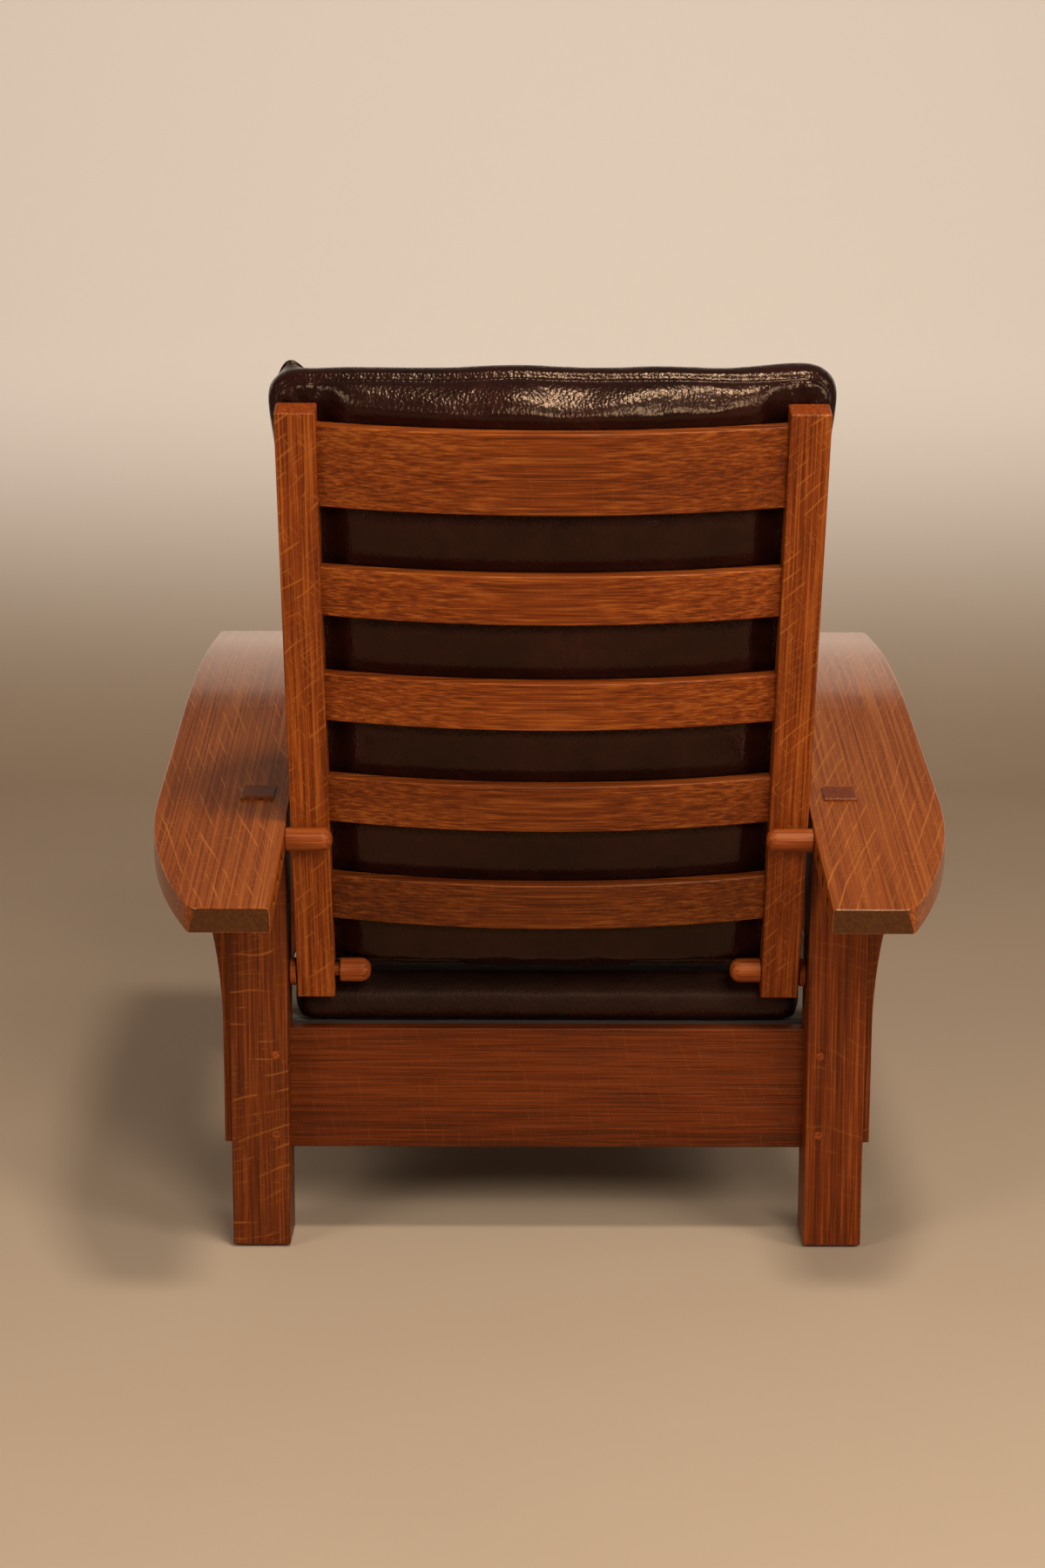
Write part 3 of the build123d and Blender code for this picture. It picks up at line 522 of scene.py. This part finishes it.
def boxed_form(outline, low, high, bulge):
    """Make a boxed cushion's surface as a grid of (across, along, depth).

    From the middle of the low panel the outline is scaled up from its middle, then the side strip
    goes up with a bulge of 4w(1 - w), then the high panel scales down again. low and high give a
    panel's depth from across, along and the share of the way to the seam.
    """
    middle = (outline.min(0) + outline.max(0)) / 2
    ahead = np.roll(outline, -1, 0) - np.roll(outline, 1, 0)
    outward = np.stack([ahead[:, 1], -ahead[:, 0]], -1) / np.linalg.norm(ahead, axis=1)[:, None]
    share = 1 - (1 - np.linspace(0, 1, 44)) ** 2
    panel = middle + share[:, None, None] * (outline - middle)
    share = np.broadcast_to(share[:, None], panel.shape[:2])
    under = low(panel[..., 0], panel[..., 1], share)
    over = high(panel[..., 0], panel[..., 1], share)
    rise = np.linspace(0, 1, 14)[1:-1, None, None]
    strip = outline + 4 * rise * (1 - rise) * bulge * outward
    edge, height = under[-1][None, :, None], (over[-1] - under[-1])[None, :, None]
    side = np.concatenate([strip, edge + rise * height], -1)
    bottom = np.concatenate([panel, under[..., None]], -1)
    top = np.concatenate([panel, over[..., None]], -1)[::-1]
    return np.concatenate([bottom, side, top])


def distance(points, path):
    """Give each point's distance from the nearest point of a path, some thousands at a time."""
    gaps = []
    for part in np.array_split(points, max(1, len(points) // 4000)):
        gaps.append(np.sqrt(((part[:, None] - path[None]) ** 2).sum(-1).min(1)))
    return np.concatenate(gaps)


def voxel_shell(name, grid):
    """Close a grid at its two middles and remesh it evenly."""
    made = grid_mesh(name, grid, (False, True))
    shell = bmesh.new()
    shell.from_mesh(made.data)
    bmesh.ops.remove_doubles(shell, verts=shell.verts, dist=1e-5)
    bmesh.ops.recalc_face_normals(shell, faces=shell.faces)
    shell.to_mesh(made.data)
    shell.free()
    made.data.remesh_voxel_size = VOXEL
    bpy.context.view_layer.objects.active = made
    made.select_set(True)
    bpy.ops.object.voxel_remesh()
    made.select_set(False)
    made.data.shade_smooth()
    return made


def evened(mesh, field, rounds):
    """Even a field out over a mesh: each point takes the mean of itself and its neighbours."""
    ends = np.empty(len(mesh.edges) * 2, dtype=int)
    mesh.edges.foreach_get("vertices", ends)
    here, there = ends.reshape(-1, 2).T
    size = len(field)
    count = 1 + np.bincount(here, minlength=size) + np.bincount(there, minlength=size)
    for _ in range(rounds):
        ahead = np.stack([np.bincount(here, field[there, axis], size) for axis in range(3)], -1)
        back = np.stack([np.bincount(there, field[here, axis], size) for axis in range(3)], -1)
        field = (field + (ahead + back)) / count[:, None]
    return field


def inflate(cushion, seams):
    """Swell a shell as cloth under pressure, its seams held, and cap how far each point moves."""
    start = read_points(cushion.data)
    held = cushion.vertex_groups.new(name="held")
    held.add(np.flatnonzero(distance(start, seams) < HELD_REACH).tolist(), 1.0, "REPLACE")
    cloth = cushion.modifiers.new("cloth", "CLOTH")
    cloth.settings.quality = 5
    cloth.settings.mass = 0.4
    cloth.settings.tension_stiffness = 14
    cloth.settings.compression_stiffness = 14
    cloth.settings.shear_stiffness = 6
    cloth.settings.bending_stiffness = 1.2
    cloth.settings.shrink_min = -0.014
    cloth.settings.use_pressure = True
    cloth.settings.uniform_pressure_force = 4
    cloth.settings.vertex_group_mass = "held"
    cloth.settings.effector_weights.gravity = 0
    cloth.collision_settings.use_collision = False
    cloth.point_cache.frame_start = 1
    cloth.point_cache.frame_end = SWELL_FRAMES
    for step in range(1, SWELL_FRAMES + 1):
        bpy.context.scene.frame_set(step)
    settled = cushion.evaluated_get(bpy.context.evaluated_depsgraph_get())
    move = evened(cushion.data, read_points(settled.data) - start, SWELL_ROUNDS)
    cushion.modifiers.remove(cloth)
    cushion.vertex_groups.remove(held)
    bpy.context.scene.frame_set(1)
    reach = np.linalg.norm(move, axis=1, keepdims=True)
    write_points(cushion.data, start + move * np.minimum(1, SWELL_CAP / np.maximum(reach, 1e-9)))


def subdivide(cushion):
    """Apply one level of subdivision."""
    finer = cushion.modifiers.new("finer", "SUBSURF")
    finer.levels = finer.render_levels = 1
    depsgraph = bpy.context.evaluated_depsgraph_get()
    mesh = bpy.data.meshes.new_from_object(cushion.evaluated_get(depsgraph))
    cushion.modifiers.remove(finer)
    cushion.data = mesh
    mesh.shade_smooth()


def tube(name, path, away, radius):
    """Sweep a circle round a closed path: the path plus radius times cos and sin of two axes."""
    along = np.roll(path, -1, 0) - np.roll(path, 1, 0)
    along /= np.linalg.norm(along, axis=1, keepdims=True)
    side = np.cross(along, away)
    side /= np.linalg.norm(side, axis=1, keepdims=True)
    out = np.cross(side, along)
    turn = np.linspace(0, 2 * math.pi, 12, endpoint=False)
    ring = np.cos(turn)[None, :, None] * out[:, None] + np.sin(turn)[None, :, None] * side[:, None]
    return grid_mesh(name, path[:, None] + radius * ring, (True, True))


def even_loop(path):
    """Space the points of a closed path evenly."""
    closed = np.concatenate([path, path[:1]])
    length = np.concatenate([[0], np.cumsum(np.linalg.norm(np.diff(closed, axis=0), axis=1))])
    places = np.linspace(0, length[-1], int(length[-1] / SEAM_STEP), endpoint=False)
    return np.stack([np.interp(places, length, closed[:, axis]) for axis in range(3)], -1)


def relaxed(path, rounds):
    """Smooth a closed path: each point goes half way to the middle of its neighbours."""
    for _ in range(rounds):
        path = path / 2 + (np.roll(path, 1, 0) + np.roll(path, -1, 0)) / 4
    return path


def seam_crease(cushion, seams, depth, reach):
    """Draw the surface in along its seams: depth times exp(-(distance / reach)^2)."""
    points = read_points(cushion.data)
    dip = depth * np.exp(-((distance(points, seams) / reach) ** 2))
    write_points(cushion.data, points - dip[:, None] * read_normals(cushion.data))


def welt(name, cushion, seam, radius, body, material, buried=None):
    """Lay a leather piping cord along a seam, half sunk in the crease.

    buried gives, for points of the cord, the share from 0 to 1 by which they sink under the hide.
    """
    tree = BVHTree.FromObject(cushion, bpy.context.evaluated_depsgraph_get())
    hits = [tree.find_nearest(Vector(point)) for point in even_loop(seam)]
    path = relaxed(np.array([hit[0] for hit in hits]), 4)
    away = relaxed(np.array([hit[1] for hit in hits]), 12)
    proud = 0.35 if buried is None else 0.35 - 1.6 * buried(path)[:, None]
    made = tube(name, path + proud * radius * away, away, radius)
    made.data.materials.append(material)
    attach(made, body)


def finish_cushion(cushion, node, body, material):
    """Dress a cushion and let it stand for its CAD node."""
    cushion.data.materials.clear()
    cushion.data.materials.append(material)
    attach(cushion, body)
    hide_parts(node)


def seam_loops(outline, panels):
    """Give each panel's seam: the outline at the panel's depth there."""
    ones = np.ones(len(outline))
    return [np.column_stack([outline, panel(*outline.T, ones)]) for panel in panels]


def reclined(points):
    """Turn points of the upright back about the pivot, into the chair's own frame."""
    x, y, z = np.moveaxis(points, -1, 0)
    lean = (math.cos(LEAN), math.sin(LEAN))
    return PIVOT + np.stack([x, y * lean[0] + z * lean[1], z * lean[0] - y * lean[1]], -1)


def upright(points):
    """Turn points of the chair's frame back into the upright back's own."""
    x, y, z = np.moveaxis(points - PIVOT, -1, 0)
    lean = (math.cos(LEAN), math.sin(LEAN))
    return np.stack([x, y * lean[0] - z * lean[1], y * lean[1] + z * lean[0]], -1)


# The back frame as the cushion meets it, in the upright back's own frame
STILE_FRONT = -0.016
STILE_INNER = 0.2439
SLAT_FRONT = -0.0065
SLAT_BOW = 0.025
SLATS = ((0.0730, 0.1290), (0.1981, 0.2541), (0.3232, 0.3792), (0.4483, 0.5043), (0.5734, 0.6634))


def frame_front(x, z):
    """How far back the cushion may reach: to the bowed slats, a little past them, to the stiles."""
    slat = SLAT_FRONT + SLAT_BOW * (1 - (x / STILE_INNER) ** 2)
    free = np.ones_like(z)
    for low, high in SLATS:
        free = np.minimum(free, np.maximum(smooth(z, high, high + 0.02), smooth(z, low, low - 0.02)))
    between = slat + 0.0045 * free * smooth(np.abs(x), STILE_INNER, STILE_INNER - 0.05)
    outside = smooth(np.abs(x), STILE_INNER - 0.034, STILE_INNER - 0.002)
    return between + (STILE_FRONT - between) * outside - 0.0006


# The room a drawn pivot peg needs round the pivot, how near the middle it comes, and the room
# that the arms leave
PEG_ROOM = 0.0165
PEG_REACH = 0.095
ARM_ROOM = 0.2905

# The back cushion: half its width, its foot and top, its corners, where its rear seam lies, how
# its top slopes, the height in the chair above which that seam is a gutter, and its piping's radius
BACK_HALF = 0.284
BACK_FOOT = -0.004
BACK_TOP = 0.7055
BACK_CORNER = 0.028
BACK_SEAM = -0.026
BACK_TOP_SLOPE = math.tan(math.radians(20))
GUTTER_FROM = 0.95
BACK_WELT = 0.0033


def back_front_panel(x, z, share):
    """The front panel: an edge that thins towards the top, and a crown of (1 - s^4)^0.6."""
    place = (-0.012, 0.02, 0.06, 0.55, 0.65, 0.69, 0.71)
    edge = np.interp(z, place, (0.086, 0.100, 0.104, 0.104, 0.094, 0.084, 0.078))
    return -edge - 0.040 * (1 - share**4) ** 0.6


def back_rear_panel(x, z, share):
    """The rear panel: from its seam it swells back to the slats as (1 - s^22)^0.48."""
    return BACK_SEAM + (frame_front(x, z) - 0.003 - BACK_SEAM) * (1 - share**22) ** 0.48


def slumped(points):
    """Slope and crown the top, let its seams wander and one corner stand up as an ear."""
    x, y, z = np.moveaxis(points, -1, 0)
    upper = smooth(z, 0.52, 0.70)
    z = z + upper * BACK_TOP_SLOPE * np.minimum(y - BACK_SEAM, 0)
    z = z + upper * (0.0012 * np.sin(17 * x + 1.0) + 0.0010 * np.sin(41 * x))
    z = z - upper * 0.001 * smooth(x, -0.16, 0.05)
    inward = np.clip((BACK_SEAM - y) / 0.058, 0, 1)
    z = z + 0.005 * smooth(z, 0.665, 0.695) * np.sin(math.pi * inward)
    ear = np.exp(-(((x - 0.268) / 0.013) ** 2) - ((y + 0.088) / 0.020) ** 2)
    lift = np.exp(-(((x + 0.235) / 0.050) ** 2)) * smooth(y, -0.03, -0.075)
    z = z + smooth(z, 0.62, 0.66) * (0.027 * ear + 0.006 * lift)
    x = x * (1 + 0.030 * smooth(z, 0.58, 0.69) - 0.008 * np.sin(np.clip(z / 0.66, 0, 1) * math.pi))
    return np.stack([x, y, z], -1)


def clear_of_frame(points):
    """Hold the cushion's back in front of the slats, stiles and drawn pegs, softly over 3 mm."""
    x, y, z = np.moveaxis(upright(points), -1, 0)
    peg = -np.sqrt(np.clip(PEG_ROOM**2 - z**2, 0, None))
    limit = frame_front(x, z)
    at_peg = (np.abs(z) < PEG_ROOM) & (np.abs(x) > PEG_REACH)
    limit = np.where(at_peg, np.minimum(limit, peg), limit)
    near = 0.003
    over = np.clip((y - limit + near) / (2 * near), 0, 1)
    held = np.where(y > limit + near, limit, y - near * over * over)
    y = np.minimum(held, limit)
    beside = ARM_ROOM + 0.006 * smooth(z, 0.40, 0.50)
    return reclined(np.stack([np.clip(x, -beside, beside), y, z], -1))


def top_share(path):
    """Go from 0 to 1 where the rear seam runs along the top, in a gutter without piping."""
    return 0.7 * smooth(path[:, 2], GUTTER_FROM - 0.01, GUTTER_FROM + 0.02)


def corner_pleats(cushion):
    """Gather the upper rear corners: folds that fan out, a wave of the angle about each corner."""
    points = read_points(cushion.data)
    x, y, z = np.moveaxis(upright(points), -1, 0)
    across, rise = np.abs(x) - (BACK_HALF - 0.030), z - (BACK_TOP - 0.040)
    angle, reach = np.arctan2(rise, across), np.hypot(across, rise)
    near = np.exp(-(((reach - 0.024) / 0.014) ** 2))
    near = near * smooth(y, -0.030, -0.022) * smooth(angle, -0.6, 0.0)
    fold = 0.0014 * near * np.sin(8 * angle + 2.0 * np.sign(x)) * smooth(angle, 2.4, 1.9)
    write_points(cushion.data, points + fold[:, None] * read_normals(cushion.data))


def make_back_cushion():
    """Make the loose back cushion: boxed, welted, resting against the slats."""
    outline = rounded_outline(BACK_HALF, BACK_FOOT, BACK_TOP, BACK_CORNER)
    panels = (back_front_panel, back_rear_panel)
    grid = boxed_form(outline, *panels, 0.006)
    cushion = voxel_shell("back_cushion_hide", reclined(slumped(grid[..., [0, 2, 1]])))
    loops = [slumped(loop[:, [0, 2, 1]]) for loop in seam_loops(outline, panels)]
    seams = [even_loop(reclined(loop)) for loop in loops]
    both = np.concatenate(seams)
    inflate(cushion, both)
    write_points(cushion.data, clear_of_frame(read_points(cushion.data)))
    subdivide(cushion)
    seam_crease(cushion, both, 0.0022, 0.007)
    seam_crease(cushion, seams[1][seams[1][:, 2] > GUTTER_FROM], 0.0026, 0.006)
    corner_pleats(cushion)
    write_points(cushion.data, clear_of_frame(read_points(cushion.data)))
    finish_cushion(cushion, "back_cushion", "back_cushion", hide)
    for end, seam, sunk in zip(("front", "rear"), seams, (None, top_share)):
        name = f"back_cushion_welt_{end}"
        welt(name, cushion, seam, BACK_WELT, "back_cushion", hide, sunk)


# The seat cushion: half its width, its ends, its corners, the deck it lies on and its piping's
# radius; then the limits of its swelling at the sides, front and back, how far it may rise at the
# rear, and how much more ahead
SEAT_HALF = 0.2875
SEAT_FRONT = -0.432
SEAT_BACK = 0.1745
SEAT_CORNER = 0.018
SEAT_FLOOR = 0.2536
SEAT_WELT = 0.0030
SEAT_SIDE_ROOM = 0.2935
SEAT_FRONT_ROOM = -0.4365
SEAT_BACK_ROOM = 0.1770
SEAT_RISE = 0.001
SEAT_MORE_RISE = 0.009


def seat_top(x, y, share):
    """The seat's top panel: low under the back cushion, crowned ahead of it by (1 - s^4)^0.6."""
    place = (-0.433, -0.420, -0.36, -0.16, -0.02, 0.041, 0.078, 0.108, 0.157, 0.175)
    edge = (0.070, 0.080, 0.085, 0.088, 0.082, 0.076, 0.068, 0.064, 0.059, 0.054)
    crown = (0.029, 0.029, 0.029, 0.029, 0.028, 0.021, 0.004, 0.000, 0.000, 0.000)
    swell = (1 - share**4) ** 0.6
    return SEAT_FLOOR + np.interp(y, place, edge) + np.interp(y, place, crown) * swell


def seat_bottom(x, y, share):
    """The flat underside, lifted a little towards its seam."""
    return SEAT_FLOOR + 0.004 * smooth(share, 0.93, 1.0)


def tucked(points):
    """Round the rear of the seat over: its upper edge goes forward under the back cushion."""
    x, y, z = np.moveaxis(points, -1, 0)
    y = y - 0.022 * smooth(z, SEAT_FLOOR + 0.026, SEAT_FLOOR + 0.056) * smooth(y, 0.10, 0.172)
    return np.stack([x, y, z], -1)


def rear_share(path):
    """Go from 0 to 1 along the cushion's sides towards its rear edge, which has no piping."""
    return smooth(path[:, 1], 0.10, 0.13)


def make_seat_cushion():
    """Make the loose seat cushion: boxed and welted, with a low rear part."""
    outline = rounded_outline(SEAT_HALF, SEAT_FRONT, SEAT_BACK, SEAT_CORNER)
    panels = (seat_bottom, seat_top)
    cushion = voxel_shell("seat_cushion_hide", tucked(boxed_form(outline, *panels, 0.005)))
    seams = [even_loop(tucked(loop)) for loop in seam_loops(outline, panels)]
    both = np.concatenate(seams)
    before = read_points(cushion.data)
    inflate(cushion, both)
    points = read_points(cushion.data)
    points[:, 2] = np.clip(points[:, 2], SEAT_FLOOR, None)
    rear = smooth(points[:, 1], -0.02, 0.05)
    above = before[:, 2] + SEAT_MORE_RISE * (1 - rear) + SEAT_RISE
    points[:, 2] = np.minimum(points[:, 2], above)
    points[:, 0] = np.clip(points[:, 0], -SEAT_SIDE_ROOM, SEAT_SIDE_ROOM)
    points[:, 1] = np.clip(points[:, 1], SEAT_FRONT_ROOM, SEAT_BACK_ROOM)
    write_points(cushion.data, points)
    subdivide(cushion)
    seam_crease(cushion, both[both[:, 1] < 0.12], 0.0016, 0.006)
    finish_cushion(cushion, "seat_cushion", "seat_cushion", seat_hide)
    for end, seam in zip(("bottom", "top"), seams):
        name = f"seat_cushion_welt_{end}"
        welt(name, cushion, seam, SEAT_WELT, "seat_cushion", seat_hide, rear_share)


make_back_cushion()
make_seat_cushion()


# Stage


def studio_paint():
    """Warm floor paint that turns to the paler wall colour as the backdrop rises.

    The wall is a little brighter to the camera, and more so to reflections.
    """
    made = Finish("studio_paint")
    cloud = made.noise(made.place, 4.0, 0.6, 0.0, 1.6)
    floor = made.blend(made.math("MULTIPLY", cloud, 0.5), linear(176, 153, 129), linear(160, 136, 112))
    high = made.ramp(made.split(made.place)["Z"], 0.02, 0.9)
    shade = made.blend(high, floor, linear(252, 238, 224))
    rays = made.node("ShaderNodeLightPath")
    seen = made.math("MULTIPLY", rays.outputs["Is Camera Ray"], 0.12)
    seen = made.math("MULTIPLY_ADD", rays.outputs["Is Glossy Ray"], 0.30, seen)
    made.feed(made.surface.inputs["Emission Strength"], made.math("MULTIPLY", high, seen))
    return made.finish(shade, 0.75, Specular_IOR_Level=0.2, Emission_Color=linear(255, 240, 226))


def backdrop():
    """A floor that curves up into a wall in front of the chair: a profile carried along X."""
    near, reach, rise, turn, half_width = 5.5, 3.6, 2.7, 1.0, 7
    corner = np.linspace(0, math.pi / 2, 24)
    y = np.concatenate(([near], -reach + turn - turn * np.sin(corner), [-reach]))
    z = np.concatenate(([0], turn - turn * np.cos(corner), [rise]))
    x = np.linspace(-half_width, half_width, 5)[:, None]
    made = grid_mesh("studio_floor", np.stack(np.broadcast_arrays(x, y, z), -1))
    made.data.materials.append(studio_paint())


backdrop()


def photo_camera():
    """Place the camera from its yaw, pitch and roll: its -Z looks forward and its +Y is up."""
    forward = Vector((
        math.sin(CAMERA_YAW) * math.cos(CAMERA_PITCH),
        -math.cos(CAMERA_YAW) * math.cos(CAMERA_PITCH),
        -math.sin(CAMERA_PITCH),
    ))
    right = forward.cross(Vector((0, 0, 1))).normalized()
    up = right.cross(forward)
    rolled_right = math.cos(CAMERA_ROLL) * right + math.sin(CAMERA_ROLL) * up
    rolled_up = math.cos(CAMERA_ROLL) * up - math.sin(CAMERA_ROLL) * right
    turn = Matrix((rolled_right, rolled_up, -forward)).transposed()
    data = bpy.data.cameras.new("camera")
    data.lens = CAMERA_LENS
    camera = bpy.data.objects.new("camera", data)
    camera.matrix_world = Matrix.Translation(CAMERA_PLACE) @ turn.to_4x4()
    bpy.context.scene.collection.objects.link(camera)
    bpy.context.scene.camera = camera


def soft_lamp(name, place, target, size, power, colour):
    """Hang a square softbox that faces a target."""
    data = bpy.data.lights.new(name, "AREA")
    data.shape = "SQUARE"
    data.size = size
    data.energy = power
    data.color = colour
    lamp = bpy.data.objects.new(name, data)
    lamp.location = place
    lamp.rotation_euler = (Vector(target) - Vector(place)).to_track_quat("-Z", "Y").to_euler()
    bpy.context.scene.collection.objects.link(lamp)


def light_studio():
    """Softboxes behind the camera, at its sides and overhead, and a sky that only looks pale."""
    seat, top = (0, 0, 0.5), (0, 0.3, 0.9)
    soft_lamp("key", (-0.8, 3.4, 2.3), seat, 1.1, 72, (1.0, 0.95, 0.86))
    soft_lamp("left", (2.6, 2.6, 1.9), seat, 1.3, 48, (1.0, 0.96, 0.90))
    soft_lamp("right", (-2.6, 2.2, 1.8), seat, 1.3, 54, (1.0, 0.96, 0.90))
    soft_lamp("overhead", (-0.4, 1.3, 3.2), top, 0.4, 48, (1.0, 0.93, 0.82))
    world = bpy.data.worlds.new("studio")
    world.use_nodes = True
    sky = world.node_tree.nodes["Background"]
    sky.inputs["Color"].default_value = linear(255, 238, 222)
    rays = world.node_tree.nodes.new("ShaderNodeLightPath")
    level = world.node_tree.nodes.new("ShaderNodeMapRange")
    level.inputs["To Min"].default_value = 0.15
    level.inputs["To Max"].default_value = 0.72
    world.node_tree.links.new(rays.outputs["Is Camera Ray"], level.inputs["Value"])
    world.node_tree.links.new(level.outputs["Result"], sky.inputs["Strength"])
    bpy.context.scene.world = world


photo_camera()
light_studio()
bpy.context.scene.view_settings.view_transform = "Standard"
